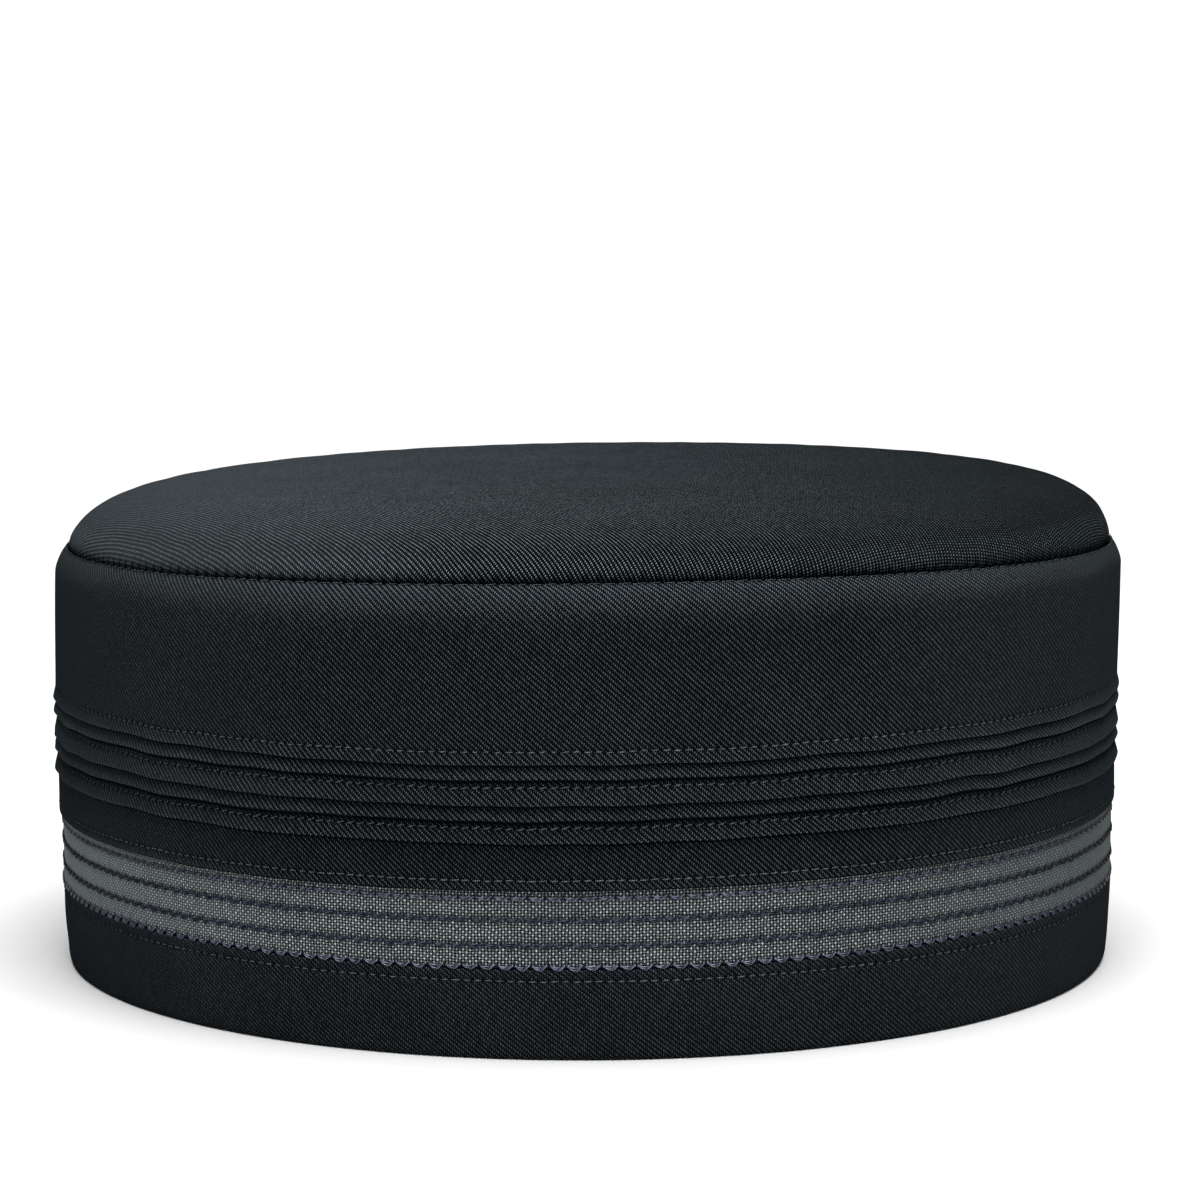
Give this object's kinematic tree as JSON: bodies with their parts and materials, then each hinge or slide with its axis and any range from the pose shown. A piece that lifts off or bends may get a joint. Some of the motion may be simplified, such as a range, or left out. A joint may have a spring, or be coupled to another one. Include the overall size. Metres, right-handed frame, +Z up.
{
  "type": "kufi cap",
  "caption": "Round cloth kufi cap with a low domed crown, an upright wall with pressed stitched tucks, a grey woven band and a turned hem; hollow and open below.",
  "frame": {"origin": "centre of the head opening, in the plane of the hem that the cap rests on", "axes": "+Z up through the crown, -Y the front, +X the wearer's left side"},
  "size_m": [0.1894, 0.1894, 0.0858],
  "materials": {
    "crown_twill": "near-black twill with a cold green cast, soft sheen at a low angle",
    "wall_twill": "near-black twill with a cold green cast, fine diagonal ribs",
    "grey_weave": "mid-grey plain weave with four rows of dark navy embroidery stitches",
    "band_twill": "near-black twill with a cold green cast, fine diagonal ribs"
  },
  "bodies": {
    "root": {"crown_top": "crown_twill", "side_panel": "wall_twill", "insert_band": "grey_weave", "lower_band": "band_twill"}
  },
  "joints": []
}
